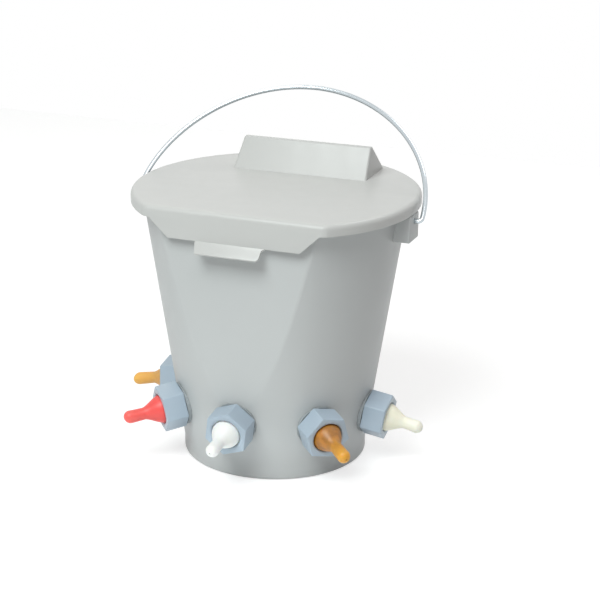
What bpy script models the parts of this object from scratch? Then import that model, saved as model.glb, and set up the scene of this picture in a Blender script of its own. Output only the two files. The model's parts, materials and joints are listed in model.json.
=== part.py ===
"""Feeding bucket with five rubber teats, for calves, lambs and kids.

A tapered bucket with one flat side carries a push-on lid, a wire bail and five teat
stations. Each station is a flanged valve body through the wall, with a gasket inside,
a seal outside, a ball in its cage, a rubber teat and the hexagon nut that holds it.

Metres, +Z up. The origin is the middle of the underside. The flat side faces -Y, and
the bail's ears stand at -X and +X.
"""

import math

import bmesh
import bpy
from mathutils import Matrix, Vector

# Clearance between pieces that touch
GAP = 0.0003

# Bucket
BUCKET_HEIGHT = 0.2838
WALL_BASE_RADIUS = 0.0946
WALL_TOP_RADIUS = 0.1382
WALL_THICKNESS = 0.0024
FLOOR_THICKNESS = 0.003
FLOOR_ROUND = 0.005
FOOT_STEP = 0.0024
FOOT_ROUND = 0.004
FRONT_FLAT_ROOM = 0.0025677

# Bucket's turned-down rim
RIM_REACH = 0.0086
RIM_FRONT_REACH = 0.005
RIM_DEPTH = 0.0086
RIM_LIP_THICKNESS = 0.0024
RIM_WALL = 0.002
RIM_CLEARANCE = 0.0007

# Lid
LID_CORNER = 0.012
LID_PLATE = 0.003
LID_WALL = 0.0025
LID_SKIRT = 0.0119
LID_EDGE_ROUND = 0.004
PLUG_DEPTH = 0.0065
PLUG_WALL = 0.002
PLUG_CLEARANCE = 0.0012
PLUG_CORNER = 0.010

# Lid's front apron and lifting tab
APRON_MARGIN = 0.0006
APRON_SLANT = 0.0205
APRON_DROP = 0.0192
TAB_LEFT = -0.0405
TAB_RIGHT = 0.0262
TAB_REACH = 0.0095
TAB_DROP = 0.0098
TAB_THICKNESS = 0.0022
TAB_FILLET = 0.007

# Lid's grip ridge, moulded hollow
RIDGE_RIGHT = 0.077
RIDGE_LEFT = -0.072
RIDGE_LEFT_SLOPE = 0.012
RIDGE_EDGE_ROOM = 0.0217284
RIDGE_DEPTH = 0.048
RIDGE_FRONT_SLOPE = 0.013
RIDGE_APEX_WIDTH = 0.005
RIDGE_HEIGHT = 0.031
RIDGE_TURN = math.radians(6.0)
RIDGE_ROUND = 0.0015

# Ears for the bail
EAR_HALF_WIDTH = 0.0143
EAR_HEIGHT = 0.0276
EAR_WALL = 0.003
EAR_LID_GAP = 0.0006
EAR_ROUND = 0.0018

# Bail
BAIL_WIRE = 0.005
BAIL_HINGE_DROP = 0.0071
BAIL_SIDE_REACH = 0.007
BAIL_HEIGHT = 0.148
BAIL_PINCH = 1.04
BAIL_LEAN = math.radians(46.4)
BAIL_BEND = 0.005
BAIL_PIN_LENGTH = 0.0085

# Teat stations, from the back left round the front to the right
STATION_BEARINGS = (-93.0, -47.0, -1.0, 46.5, 90.5)
STATION_HEIGHTS = (0.059, 0.062, 0.064, 0.060, 0.054)
NUT_ROLLS = (42.0, 43.5, 10.0, 41.5, 6.0)

# Wall seal, outside, and gasket, inside
SEAL_THICKNESS = 0.0015
SEAL_WIDTH = 0.0043
GASKET_THICKNESS = 0.0015

# Valve body
THREAD_RADIUS = 0.0179
SLEEVE_WALL = 0.0056
FLANGE_WIDTH = 0.0056
FLANGE_THICKNESS = 0.0035
INLET_RADIUS = 0.0045
SEAT_SLOPE = math.radians(48.0)

# Ball and the cage that keeps it in
CAGE_RING = 0.0028
CAGE_THICKNESS = 0.004
CAGE_BAR = 0.0028
BALL_RADIUS = 0.007
BALL_CLEARANCE = 0.0006
BALL_TRAVEL = 0.004

# Union nut
NUT_WALL = 0.0033
NUT_DEPTH = 0.0235
NUT_LIP = 0.004
NUT_MOUTH_CLEARANCE = 0.0011
NUT_EDGE = 0.0008

# Teat
TEAT_FLANGE_THICKNESS = 0.003
TEAT_WALL = 0.0021
TEAT_BULB_RADIUS = 0.0146
TEAT_BULB_LENGTH = 0.018
TEAT_BULB_ROUNDNESS = 0.45
TEAT_NECK_RADIUS = 0.0063
TEAT_TIP_RADIUS = 0.0068
TEAT_TIP_TURN = math.radians(78.0)
TEAT_LENGTH = 0.042

# Facets
WALL_FACETS = 64
OUTLINE_STEPS = 54
CORNER_STEPS = 3
STATION_FACETS = 20
TEAT_FACETS = 16
CAGE_FACETS = 16
HOLE_FACETS = 12
BALL_FACETS = 14
BALL_RINGS = 8
BAIL_POINTS = 44

# How the cutters and the shading work
CUT_OVERRUN = 0.001
BORE_REACH = 0.02
SMALLEST_CORNER = 0.001
SMALLEST_APEX = 0.0008
SMOOTH_ANGLE = math.radians(35.0)
BALL_SMOOTH_ANGLE = math.radians(80.0)
BEVEL_ANGLE = math.radians(30.0)
QUARTER = math.pi / 2

# Wall
WALL_SLOPE = (WALL_TOP_RADIUS - WALL_BASE_RADIUS) / BUCKET_HEIGHT
WALL_TILT = math.atan(WALL_SLOPE)
WALL_ACROSS = WALL_THICKNESS / math.cos(WALL_TILT)
FOOT_RADIUS = WALL_BASE_RADIUS + FOOT_STEP

# Flat side, a little outside the round wall at the highest station
HIGHEST_STATION_RADIUS = WALL_BASE_RADIUS + WALL_SLOPE * max(STATION_HEIGHTS)
FRONT_FLAT = HIGHEST_STATION_RADIUS + FRONT_FLAT_ROOM

# Rim and the lid that fits over it
RIM_RADIUS = WALL_TOP_RADIUS + RIM_REACH
RIM_FLAT = FRONT_FLAT + RIM_FRONT_REACH
RIM_CORNER = LID_CORNER - LID_WALL - RIM_CLEARANCE
LID_RADIUS = RIM_RADIUS + RIM_CLEARANCE + LID_WALL
LID_FLAT = RIM_FLAT + RIM_CLEARANCE + LID_WALL
LID_HALF_FLAT = math.sqrt((LID_RADIUS - LID_CORNER) ** 2 - (LID_FLAT - LID_CORNER) ** 2)
LID_UNDER = BUCKET_HEIGHT + GAP
LID_TOP = LID_UNDER + LID_PLATE
LID_SKIRT_Z = LID_TOP - LID_SKIRT
APRON_BOTTOM = LID_SKIRT_Z - APRON_DROP
APRON_HALF_TOP = LID_HALF_FLAT - APRON_MARGIN
APRON_HALF_BOTTOM = APRON_HALF_TOP - APRON_SLANT

# Grip ridge, its back right corner set in from the lid's round edge
RIDGE_BACK = math.sqrt(LID_RADIUS ** 2 - RIDGE_RIGHT ** 2) - RIDGE_EDGE_ROOM
RIDGE_FRONT = RIDGE_BACK - RIDGE_DEPTH
RIDGE_APEX_Y = RIDGE_FRONT + RIDGE_FRONT_SLOPE

# Ears under the skirt, flush with the lid, and the bail that they hold
EAR_REACH = LID_RADIUS
EAR_TOP = LID_SKIRT_Z - EAR_LID_GAP
EAR_BOTTOM = EAR_TOP - EAR_HEIGHT
BAIL_HINGE_Z = EAR_TOP - BAIL_HINGE_DROP
BAIL_HALF_WIDTH = EAR_REACH + BAIL_SIDE_REACH
BAIL_PIN_END = EAR_REACH - BAIL_PIN_LENGTH

# Radii round a station's axis
BORE_RADIUS = THREAD_RADIUS + GAP
SEAL_RADIUS = BORE_RADIUS + SEAL_WIDTH
FLANGE_RADIUS = THREAD_RADIUS + FLANGE_WIDTH
POCKET_RADIUS = THREAD_RADIUS - SLEEVE_WALL
CAGE_RADIUS = POCKET_RADIUS - GAP
CAGE_WINDOW_RADIUS = CAGE_RADIUS - CAGE_RING
CHAMBER_RADIUS = BALL_RADIUS + BALL_CLEARANCE
NUT_ACROSS_FLATS = 2 * (BORE_RADIUS + NUT_WALL)
NUT_MOUTH_RADIUS = TEAT_BULB_RADIUS + NUT_MOUTH_CLEARANCE

# Heights along a station's axis, from the outer wall outward
NUT_BACK = SEAL_THICKNESS + GAP
NUT_FACE = NUT_BACK + NUT_DEPTH
TEAT_FLANGE_TOP = NUT_FACE - NUT_LIP - GAP
TEAT_FLANGE_BACK = TEAT_FLANGE_TOP - TEAT_FLANGE_THICKNESS
SLEEVE_END = TEAT_FLANGE_BACK - GAP
CAGE_TOP = SLEEVE_END - GAP
CAGE_BACK = CAGE_TOP - CAGE_THICKNESS
BALL_CENTRE = CAGE_BACK - GAP - BALL_RADIUS


def clear_scene():
    """Removes every object that the file opened with."""
    for item in list(bpy.data.objects):
        bpy.data.objects.remove(item, do_unlink=True)


def material(name, colour, roughness, metallic=0.0):
    """A plain Principled material in the piece's own colour."""
    made = bpy.data.materials.new(name)
    made.use_nodes = True
    shader = made.node_tree.nodes["Principled BSDF"]
    shader.inputs["Base Color"].default_value = (*colour, 1.0)
    shader.inputs["Roughness"].default_value = roughness
    shader.inputs["Metallic"].default_value = metallic
    return made


def finish_mesh(name, bm, surface=None, smooth_angle=SMOOTH_ANGLE):
    """Closes a bmesh into an object with outward faces and its material."""
    bmesh.ops.remove_doubles(bm, verts=bm.verts, dist=1e-6)
    bmesh.ops.recalc_face_normals(bm, faces=bm.faces)
    mesh = bpy.data.meshes.new(name)
    bm.to_mesh(mesh)
    bm.free()
    mesh.shade_smooth()
    mesh.set_sharp_from_angle(angle=smooth_angle)
    if surface is not None:
        mesh.materials.append(surface)
    made = bpy.data.objects.new(name, mesh)
    bpy.context.collection.objects.link(made)
    return made


def loft(name, rings, surface=None, closed=False):
    """Joins rings of equal point counts, with flat caps or as a closed loop."""
    bm = bmesh.new()
    loops = [[bm.verts.new(point) for point in ring] for ring in rings]
    pairs = list(zip(loops, loops[1:]))
    if closed:
        pairs.append((loops[-1], loops[0]))
    count = len(loops[0])
    for low, high in pairs:
        for i in range(count):
            j = (i + 1) % count
            bm.faces.new((low[i], low[j], high[j], high[i]))
    if not closed:
        bm.faces.new(loops[0])
        bm.faces.new(loops[-1])
    return finish_mesh(name, bm, surface)


def circle(radius, z, facets):
    """Points round a circle about Z."""
    angles = [2 * math.pi * i / facets for i in range(facets)]
    return [(radius * math.cos(a), radius * math.sin(a), z) for a in angles]


def turned(name, profile, facets, surface=None, closed=False):
    """Turns a profile of (radius, height) points about Z."""
    rings = [circle(radius, z, facets) for radius, z in profile]
    return loft(name, rings, surface, closed)


def arc(centre, radius, start, end, steps):
    """Points along an arc in a plane, both ends included."""
    angles = [start + (end - start) * i / steps for i in range(steps + 1)]
    return [(centre[0] + radius * math.cos(a), centre[1] + radius * math.sin(a)) for a in angles]


def plan_outline(radius, flat, corner, z):
    """A circle with one flat side toward -Y and rounded corners, seen from above."""
    corner = max(corner, SMALLEST_CORNER)
    across = math.sqrt((radius - corner) ** 2 - (flat - corner) ** 2)
    turn = math.atan2(flat - corner, across)
    round_part = arc((0, 0), radius, -turn, math.pi + turn, OUTLINE_STEPS)
    left = arc((-across, corner - flat), corner, math.pi + turn, 3 * QUARTER, CORNER_STEPS)
    right = arc((across, corner - flat), corner, -QUARTER, -turn, CORNER_STEPS)
    return [(x, y, z) for x, y in round_part + left[1:] + right[:-1]]


def box(name, low, high):
    """A box between two corners."""
    bm = bmesh.new()
    bmesh.ops.create_cube(bm, size=1.0)
    size = Vector(high) - Vector(low)
    middle = (Vector(high) + Vector(low)) / 2
    bmesh.ops.scale(bm, vec=size, verts=bm.verts)
    bmesh.ops.translate(bm, vec=middle, verts=bm.verts)
    return finish_mesh(name, bm)


def apply_modifier(target, modifier):
    """Applies one modifier to its object."""
    bpy.context.view_layer.update()
    with bpy.context.temp_override(object=target, active_object=target):
        bpy.ops.object.modifier_apply(modifier=modifier.name)


def add_boolean(target, other, operation):
    """Adds an exact Boolean with another object."""
    modifier = target.modifiers.new(operation.title(), "BOOLEAN")
    modifier.operation = operation
    modifier.solver = "EXACT"
    modifier.object = other
    return modifier


def combine(target, other, operation):
    """Applies a Boolean of two objects; the second one is used up."""
    apply_modifier(target, add_boolean(target, other, operation))
    bpy.data.objects.remove(other, do_unlink=True)


def bevel(target, width, segments=1):
    """Rounds an object's sharp edges."""
    modifier = target.modifiers.new("Bevel", "BEVEL")
    modifier.width = width
    modifier.segments = segments
    modifier.limit_method = "ANGLE"
    modifier.angle_limit = BEVEL_ANGLE
    apply_modifier(target, modifier)


def finish_piece(target, surface):
    """Gives a cut piece one material and shades its round faces smooth again."""
    target.data.materials.clear()
    target.data.materials.append(surface)
    target.data.shade_smooth()
    target.data.set_sharp_from_angle(angle=SMOOTH_ANGLE)
    return target


def wall_radius(z):
    """Outer radius of the tapered wall at a height."""
    return WALL_BASE_RADIUS + WALL_SLOPE * z


def cut_front(target, flat):
    """Cuts a form off at the flat front side."""
    reach = 2 * LID_RADIUS
    front = box("front_cut", (-reach, -reach, -reach), (reach, -flat, 2 * BUCKET_HEIGHT))
    combine(target, front, "DIFFERENCE")


def outer_form(name, grow=0.0):
    """The bucket's outer form as one solid, grown by a clearance where asked."""
    foot = FOOT_RADIUS + grow
    foot_top = FOOT_STEP / WALL_SLOPE
    profile = arc((foot - FOOT_ROUND, FOOT_ROUND), FOOT_ROUND, -QUARTER, 0.0, 3)
    profile += [(foot, foot_top), (WALL_TOP_RADIUS + grow, BUCKET_HEIGHT)]
    form = turned(name, profile, WALL_FACETS)
    cut_front(form, FRONT_FLAT + grow)
    return form


def inner_form(name, shrink=0.0):
    """The bucket's hollow as one solid, shrunk by a clearance where asked."""
    inset = WALL_ACROSS + shrink
    low = wall_radius(FLOOR_THICKNESS) - inset
    above = BUCKET_HEIGHT + CUT_OVERRUN
    centre = (low - FLOOR_ROUND, FLOOR_THICKNESS + FLOOR_ROUND)
    profile = arc(centre, FLOOR_ROUND, -QUARTER, 0.0, 2)
    profile.append((wall_radius(above) - inset, above))
    form = turned(name, profile, WALL_FACETS)
    cut_front(form, FRONT_FLAT - WALL_THICKNESS - shrink)
    return form


def rim_form():
    """The turned-down rim, before the bucket's hollow is cut through it."""
    low = BUCKET_HEIGHT - RIM_DEPTH
    rings = [plan_outline(RIM_RADIUS, RIM_FLAT, RIM_CORNER, z) for z in (low, BUCKET_HEIGHT)]
    rim = loft("rim", rings)
    inset = (RIM_RADIUS - RIM_WALL, RIM_FLAT - RIM_WALL, RIM_CORNER - RIM_WALL)
    heights = (low - CUT_OVERRUN, BUCKET_HEIGHT - RIM_LIP_THICKNESS)
    combine(rim, loft("rim_channel", [plan_outline(*inset, z) for z in heights]), "DIFFERENCE")
    return rim


def ear_form(side):
    """One ear as a solid, with the web that joins it to the rim."""
    root = wall_radius(EAR_BOTTOM) - 2 * WALL_THICKNESS
    ear = box("ear", (root, -EAR_HALF_WIDTH, EAR_BOTTOM), (EAR_REACH, EAR_HALF_WIDTH, EAR_TOP))
    bevel(ear, EAR_ROUND, 2)
    half_web = EAR_HALF_WIDTH - EAR_WALL
    web_end = RIM_RADIUS - RIM_WALL / 2
    web_top = BUCKET_HEIGHT - RIM_LIP_THICKNESS / 2
    web = box("ear_web", (root, -half_web, EAR_TOP - EAR_WALL), (web_end, half_web, web_top))
    combine(ear, web, "UNION")
    if side < 0:
        ear.data.transform(Matrix.Rotation(math.pi, 4, "Z"))
    return ear


def ear_cuts(side):
    """The hollow of one ear, open below, and the hole for the bail's end."""
    roof = EAR_TOP - EAR_WALL / 2
    inner = wall_radius(roof) + WALL_THICKNESS / 2
    half = EAR_HALF_WIDTH - EAR_WALL
    low = (inner, -half, EAR_BOTTOM - CUT_OVERRUN)
    hollow = box("ear_hollow", low, (EAR_REACH - EAR_WALL, half, roof))
    radius = BAIL_WIRE / 2 + GAP
    hole = turned("ear_hole", [(radius, -EAR_WALL), (radius, EAR_WALL)], HOLE_FACETS)
    place = Matrix.Translation((EAR_REACH - EAR_WALL / 2, 0, BAIL_HINGE_Z))
    hole.data.transform(place @ Matrix.Rotation(QUARTER, 4, "Y"))
    if side < 0:
        for cut in (hollow, hole):
            cut.data.transform(Matrix.Rotation(math.pi, 4, "Z"))
    return hollow, hole


def station_matrix(index):
    """A station's frame: origin on the outer wall, +Z outward and square to the wall."""
    bearing = math.radians(STATION_BEARINGS[index]) - QUARTER
    height = STATION_HEIGHTS[index]
    place = Vector((math.cos(bearing), math.sin(bearing), 0)) * wall_radius(height)
    place.z = height
    turn = Matrix.Rotation(bearing, 4, "Z") @ Matrix.Rotation(QUARTER + WALL_TILT, 4, "Y")
    return Matrix.Translation(place) @ turn


def make_bucket(surface):
    """The bucket: wall, floor, flat front, rim, ears and five bores."""
    bucket = outer_form("bucket")
    combine(bucket, rim_form(), "UNION")
    for side in (1, -1):
        combine(bucket, ear_form(side), "UNION")
    combine(bucket, inner_form("hollow"), "DIFFERENCE")
    for side in (1, -1):
        for cut in ear_cuts(side):
            combine(bucket, cut, "DIFFERENCE")
    for index in range(len(STATION_BEARINGS)):
        ends = [(BORE_RADIUS, -BORE_REACH), (BORE_RADIUS, BORE_REACH)]
        bore = turned("bore", ends, STATION_FACETS)
        bore.data.transform(station_matrix(index))
        combine(bucket, bore, "DIFFERENCE")
    return finish_piece(bucket, surface)


def ridge_form(inset, floor):
    """The grip ridge as a solid: a steep front, a long back and one sloped end."""
    front = RIDGE_FRONT + inset
    back = RIDGE_BACK - inset
    right = RIDGE_RIGHT - inset
    left = RIDGE_LEFT + inset
    top = LID_TOP + RIDGE_HEIGHT - inset
    half_apex = max((RIDGE_APEX_WIDTH - inset) / 2, SMALLEST_APEX)
    near = RIDGE_APEX_Y - half_apex
    far = RIDGE_APEX_Y + half_apex
    apex_left = left + RIDGE_LEFT_SLOPE
    spread = (top - floor) / (top - LID_TOP)
    low_front = near - (near - front) * spread
    low_back = far + (back - far) * spread
    low_left = apex_left - RIDGE_LEFT_SLOPE * spread
    low = [(low_left, low_front, floor), (right, low_front, floor)]
    low += [(right, low_back, floor), (low_left, low_back, floor)]
    high = [(apex_left, near, top), (right, near, top), (right, far, top), (apex_left, far, top)]
    ridge = loft("ridge", [low, high])
    centre = Vector(((RIDGE_RIGHT + RIDGE_LEFT) / 2, (RIDGE_FRONT + RIDGE_BACK) / 2, 0))
    about_centre = Matrix.Translation(centre) @ Matrix.Rotation(RIDGE_TURN, 4, "Z")
    ridge.data.transform(about_centre @ Matrix.Translation(-centre))
    return ridge


def apron_form():
    """The front apron under the skirt."""
    over = APRON_SLANT * LID_WALL / APRON_DROP
    rings = []
    for y in (-LID_FLAT, -LID_FLAT + LID_WALL):
        low = [(-APRON_HALF_BOTTOM, y, APRON_BOTTOM), (APRON_HALF_BOTTOM, y, APRON_BOTTOM)]
        top = LID_SKIRT_Z + LID_WALL
        high = [(APRON_HALF_TOP + over, y, top), (-APRON_HALF_TOP - over, y, top)]
        rings.append(low + high)
    return loft("apron", rings)


def tab_form():
    """The lifting tab below the apron, leaning out, with a hollow fillet at its right."""
    lean = math.atan2(TAB_REACH, TAB_DROP)
    length = math.hypot(TAB_REACH, TAB_DROP)
    round_radius = TAB_FILLET / 2
    fillet = arc((TAB_RIGHT + TAB_FILLET, -TAB_FILLET), TAB_FILLET, QUARTER, 2 * QUARTER, 3)
    corner_centre = (TAB_RIGHT - round_radius, round_radius - length)
    corner = arc(corner_centre, round_radius, 0.0, -QUARTER, 2)
    outline = [(TAB_LEFT, TAB_THICKNESS), (TAB_RIGHT + TAB_FILLET, TAB_THICKNESS)]
    outline += fillet + corner + [(TAB_LEFT, -length)]
    tab = loft("tab", [[(x, y, z) for x, y in outline] for z in (0.0, -TAB_THICKNESS)])
    place = Matrix.Translation((0, -LID_FLAT, APRON_BOTTOM))
    tab.data.transform(place @ Matrix.Rotation(QUARTER - lean, 4, "X"))
    return tab


def make_lid(surface):
    """The lid: plate, skirt, apron, tab, plug ring and hollow grip ridge."""
    rings = [plan_outline(LID_RADIUS, LID_FLAT, LID_CORNER, LID_SKIRT_Z)]
    for x, z in arc((0, LID_TOP - LID_EDGE_ROUND), LID_EDGE_ROUND, 0.0, QUARTER, 3):
        inset = LID_EDGE_ROUND - x
        rings.append(plan_outline(LID_RADIUS - inset, LID_FLAT - inset, LID_CORNER - inset, z))
    lid = loft("lid", rings)
    ridge = ridge_form(0.0, LID_UNDER - RIDGE_ROUND)
    bevel(ridge, RIDGE_ROUND, 2)
    for form in (ridge, apron_form(), tab_form()):
        combine(lid, form, "UNION")
    inner = (LID_RADIUS - LID_WALL, LID_FLAT - LID_WALL, LID_CORNER - LID_WALL)
    cavity = [plan_outline(*inner, z) for z in (LID_SKIRT_Z - CUT_OVERRUN, LID_UNDER)]
    combine(lid, loft("lid_cavity", cavity), "DIFFERENCE")
    plug_radius = wall_radius(BUCKET_HEIGHT - PLUG_DEPTH) - WALL_ACROSS - PLUG_CLEARANCE
    plug_flat = FRONT_FLAT - WALL_THICKNESS - PLUG_CLEARANCE
    plug_low = LID_UNDER - PLUG_DEPTH
    plug_heights = (plug_low, LID_UNDER + LID_PLATE / 2)
    plug = [plan_outline(plug_radius, plug_flat, PLUG_CORNER, z) for z in plug_heights]
    combine(lid, loft("plug", plug), "UNION")
    bore = (plug_radius - PLUG_WALL, plug_flat - PLUG_WALL, PLUG_CORNER - PLUG_WALL)
    plug_bore = [plan_outline(*bore, z) for z in (plug_low - CUT_OVERRUN, LID_UNDER)]
    combine(lid, loft("plug_bore", plug_bore), "DIFFERENCE")
    combine(lid, ridge_form(LID_WALL, LID_UNDER - CUT_OVERRUN), "DIFFERENCE")
    return finish_piece(lid, surface)


def bail_points():
    """Centreline of the bail in its own plane, hinge on the X axis, from end to end."""
    arch = []
    for i in range(BAIL_POINTS + 1):
        angle = math.pi * i / BAIL_POINTS
        across = math.cos(angle)
        across = math.copysign(abs(across) ** BAIL_PINCH, across)
        rise = BAIL_BEND + (BAIL_HEIGHT - BAIL_BEND) * math.sin(angle) ** BAIL_PINCH
        arch.append((BAIL_HALF_WIDTH * across, rise))
    centre = (BAIL_HALF_WIDTH - BAIL_BEND, BAIL_BEND)
    right = [(BAIL_PIN_END, 0.0)] + arc(centre, BAIL_BEND, -QUARTER, 0.0, 4)[:-1]
    left = [(-x, z) for x, z in reversed(right)]
    return [(x, 0.0, z) for x, z in right + arch + left]


def make_bail(surface):
    """The wire bail, its origin on the hinge axis, leaning back."""
    points = bail_points()
    curve = bpy.data.curves.new("bail", "CURVE")
    curve.dimensions = "3D"
    spline = curve.splines.new("POLY")
    spline.points.add(len(points) - 1)
    for slot, point in zip(spline.points, points):
        slot.co = (*point, 1.0)
    curve.bevel_depth = BAIL_WIRE / 2
    curve.bevel_resolution = 2
    curve.use_fill_caps = True
    curve.materials.append(surface)
    bail = bpy.data.objects.new("bail", curve)
    bpy.context.collection.objects.link(bail)
    bail.location = (0, 0, BAIL_HINGE_Z)
    bail.rotation_euler = (-BAIL_LEAN, 0, 0)
    return bail


def seat(made, station, roll=0.0):
    """Carries a piece on its station's empty, turned about the station's axis."""
    made.parent = station
    made.rotation_euler = (0, 0, roll)
    return made


def make_nut(name, surface):
    """Hexagon union nut: an open bore for the thread and a lip over the teat's flange."""
    corner_radius = NUT_ACROSS_FLATS / math.sqrt(3)
    nut = loft(name, [circle(corner_radius, z, 6) for z in (NUT_BACK, NUT_FACE)])
    bevel(nut, NUT_EDGE)
    lip = NUT_FACE - NUT_LIP
    profile = [(BORE_RADIUS, NUT_BACK - CUT_OVERRUN), (BORE_RADIUS, lip)]
    profile += [(NUT_MOUTH_RADIUS, lip), (NUT_MOUTH_RADIUS, NUT_FACE - NUT_EDGE)]
    profile += [(NUT_MOUTH_RADIUS + 2 * NUT_EDGE, NUT_FACE + NUT_EDGE)]
    combine(nut, turned("nut_bore", profile, STATION_FACETS), "DIFFERENCE")
    return finish_piece(nut, surface)


def teat_outline():
    """Outer profile of the teat from its flange's front to the tip, in station heights."""
    points = [(TEAT_BULB_RADIUS, TEAT_FLANGE_TOP), (TEAT_BULB_RADIUS, NUT_FACE)]
    for share in (0.25, 0.5, 0.75, 1.0):
        ease = 0.5 - 0.5 * math.cos(math.pi * share)
        blend = share + TEAT_BULB_ROUNDNESS * (ease - share)
        radius = TEAT_BULB_RADIUS + (TEAT_NECK_RADIUS - TEAT_BULB_RADIUS) * blend
        points.append((radius, NUT_FACE + TEAT_BULB_LENGTH * share))
    centre = (0, NUT_FACE + TEAT_LENGTH - TEAT_TIP_RADIUS)
    return points + arc(centre, TEAT_TIP_RADIUS, 0.0, TEAT_TIP_TURN, 3)


def make_teat(name, surface):
    """Rubber teat: a flange that the nut clamps, a bulb and a nipple, hollow inside."""
    outer = teat_outline()
    bulb_bore = TEAT_BULB_RADIUS - TEAT_WALL
    neck_bore = TEAT_NECK_RADIUS - TEAT_WALL
    inner = [(neck_bore, outer[-1][1] - 3 * TEAT_WALL), (neck_bore, NUT_FACE + TEAT_BULB_LENGTH)]
    inner += [(bulb_bore, NUT_FACE), (bulb_bore, TEAT_FLANGE_BACK)]
    flange = [(THREAD_RADIUS, TEAT_FLANGE_BACK), (THREAD_RADIUS, TEAT_FLANGE_TOP)]
    return turned(name, inner + flange + outer, TEAT_FACETS, surface)


def flange_face():
    """Height of the valve body's flange face, clear of the curved wall's inner side."""
    inside = wall_radius(min(STATION_HEIGHTS)) - WALL_ACROSS
    sag = inside - math.sqrt(inside ** 2 - FLANGE_RADIUS ** 2)
    return -WALL_THICKNESS - sag - GASKET_THICKNESS - 2 * GAP


def seat_heights():
    """Heights where the ball's conical seat starts and ends."""
    reach = BALL_RADIUS + GAP
    touch_radius = reach * math.cos(SEAT_SLOPE)
    touch = BALL_CENTRE - BALL_TRAVEL - reach * math.sin(SEAT_SLOPE)
    rise = math.tan(QUARTER - SEAT_SLOPE)
    low = touch - (touch_radius - INLET_RADIUS) * rise
    high = touch + (CHAMBER_RADIUS - touch_radius) * rise
    return low, high


def make_valve_body(name, surface):
    """Flanged sleeve through the wall: inlet, conical seat, ball chamber and thread."""
    face = flange_face()
    back = face - FLANGE_THICKNESS
    seat_low, seat_high = seat_heights()
    shoulder = CAGE_BACK - GAP
    profile = [(INLET_RADIUS, back), (FLANGE_RADIUS - NUT_EDGE, back)]
    profile += [(FLANGE_RADIUS, back + NUT_EDGE), (FLANGE_RADIUS, face)]
    profile += [(THREAD_RADIUS, face), (THREAD_RADIUS, SLEEVE_END)]
    profile += [(POCKET_RADIUS, SLEEVE_END), (POCKET_RADIUS, shoulder)]
    profile += [(CHAMBER_RADIUS, shoulder), (CHAMBER_RADIUS, seat_high), (INLET_RADIUS, seat_low)]
    return turned(name, profile, STATION_FACETS, surface, closed=True)


def washer(name, outer, inner, heights, facets, surface):
    """A plain ring between two heights."""
    low, high = heights
    profile = [(inner, low), (outer, low), (outer, high), (inner, high)]
    return turned(name, profile, facets, surface, closed=True)


def make_seal(name, surface, outside):
    """Seal between the nut and the wall, its back shaped to the wall."""
    sunk = 2 * (wall_radius(0.0) - math.sqrt(wall_radius(0.0) ** 2 - SEAL_RADIUS ** 2))
    heights = (-sunk, SEAL_THICKNESS)
    seal = washer(name, SEAL_RADIUS, BORE_RADIUS, heights, STATION_FACETS, surface)
    add_boolean(seal, outside, "DIFFERENCE")
    return seal


def make_gasket(name, surface, inside):
    """Gasket under the valve body's flange, its front shaped to the wall."""
    heights = (flange_face() + GAP, WALL_THICKNESS)
    gasket = washer(name, FLANGE_RADIUS, BORE_RADIUS, heights, STATION_FACETS, surface)
    add_boolean(gasket, inside, "INTERSECT")
    return gasket


def make_cage(name, surface):
    """Cage that keeps the ball in: a ring with two crossed bars."""
    heights = (CAGE_BACK, CAGE_TOP)
    cage = washer(name, CAGE_RADIUS, CAGE_WINDOW_RADIUS, heights, CAGE_FACETS, surface)
    reach = (CAGE_RADIUS + CAGE_WINDOW_RADIUS) / 2
    half = CAGE_BAR / 2
    bar_top = CAGE_TOP - half
    cross = box("bar_x", (-reach, -half, CAGE_BACK), (reach, half, bar_top))
    combine(cross, box("bar_y", (-half, -reach, CAGE_BACK), (half, reach, bar_top)), "UNION")
    combine(cage, cross, "UNION")
    return finish_piece(cage, surface)


def make_ball(name, surface):
    """The non-return ball, its origin at its centre."""
    bm = bmesh.new()
    bmesh.ops.create_uvsphere(bm, u_segments=BALL_FACETS, v_segments=BALL_RINGS, radius=BALL_RADIUS)
    ball = finish_mesh(name, bm, surface, BALL_SMOOTH_ANGLE)
    ball.location = (0, 0, BALL_CENTRE)
    return ball


def make_station(index, surfaces, outside, inside):
    """One teat station on its own empty."""
    number = index + 1
    station = bpy.data.objects.new(f"station_{number}", None)
    bpy.context.collection.objects.link(station)
    station.matrix_world = station_matrix(index)
    seat(make_valve_body(f"valve_body_{number}", surfaces["valve"]), station)
    seat(make_cage(f"ball_cage_{number}", surfaces["valve"]), station)
    seat(make_ball(f"valve_ball_{number}", surfaces["ball"]), station)
    roll = math.pi - math.radians(NUT_ROLLS[index])
    seat(make_nut(f"union_nut_{number}", surfaces["nut"]), station, roll)
    seat(make_teat(f"teat_{number}", surfaces["teats"][index]), station)
    seat(make_seal(f"wall_seal_{number}", surfaces["seal"], outside), station)
    seat(make_gasket(f"inner_gasket_{number}", surfaces["seal"], inside), station)


def as_guide(form):
    """Keeps a form in the file as a guide for the pieces that it shapes."""
    form.hide_render = True
    form.display_type = "WIRE"
    return form


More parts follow.
